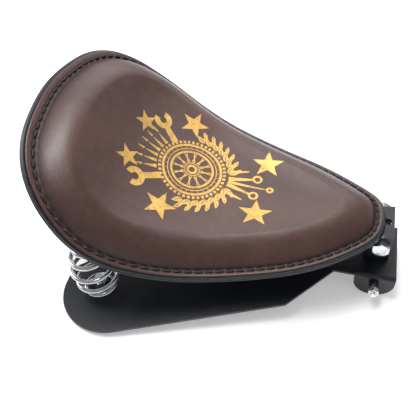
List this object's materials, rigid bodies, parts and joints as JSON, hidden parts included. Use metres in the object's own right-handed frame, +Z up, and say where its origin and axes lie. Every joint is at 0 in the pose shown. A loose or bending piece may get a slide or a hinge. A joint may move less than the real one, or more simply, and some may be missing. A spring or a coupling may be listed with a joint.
{
  "type": "motorcycle seat",
  "caption": "Spoon-shaped leather solo motorcycle seat hinged at the nose and carried on barrel springs over a flat steel base plate with two mounting ears.",
  "frame": {"origin": "on the underside of the base plate, straight above the middle of the frame bolt", "axes": "+X towards the nose of the seat, +Y to the rider's left, +Z up, square to the base plate"},
  "size_m": [0.362, 0.324, 0.2026],
  "materials": {
    "black_steel": "satin",
    "bracket_steel": "satin",
    "pan_steel": "semi-gloss",
    "bronze": "satin",
    "zinc": "bright zinc",
    "chrome": "polished",
    "lining": "matte",
    "foam": "matte",
    "leather": "smooth waxed",
    "thread": "waxed"
  },
  "bodies": {
    "base": {"base_plate": "black_steel", "hinge_upright": "black_steel", "hinge_bush": "bronze", "frame_bolt": "zinc", "frame_bolt_washer": "zinc", "frame_bolt_spacer": "black_steel", "frame_bolt_nut": "zinc", "lower_spring_spigots": "black_steel", "lower_spring_studs": "zinc", "lower_spring_nuts": "zinc", "spring_left": "chrome", "spring_right": "chrome"},
    "seat": {"hinge_bracket": "bracket_steel", "spring_perches": "black_steel", "hinge_bolt": "zinc", "hinge_nut": "zinc", "hinge_washer": "zinc", "bracket_bolts": "zinc", "bracket_nuts": "zinc", "upper_spring_spigots": "black_steel", "upper_spring_bolts": "zinc", "upper_spring_nuts": "zinc", "seat_pan": "pan_steel", "underside_lining": "lining", "foam_pad": "foam", "leather_cover": "leather", "lacing_thread": "thread"}
  },
  "joints": [
    {"name": "seat_pivot", "type": "hinge", "parent": "base", "child": "seat", "pos_m": [-0.0015, 0, 0.0345], "axis": [0, -1, 0], "range_deg": [0, 6], "stiffness_Nm_per_rad": 2600, "deforming": ["spring_left", "spring_right"]}
  ]
}
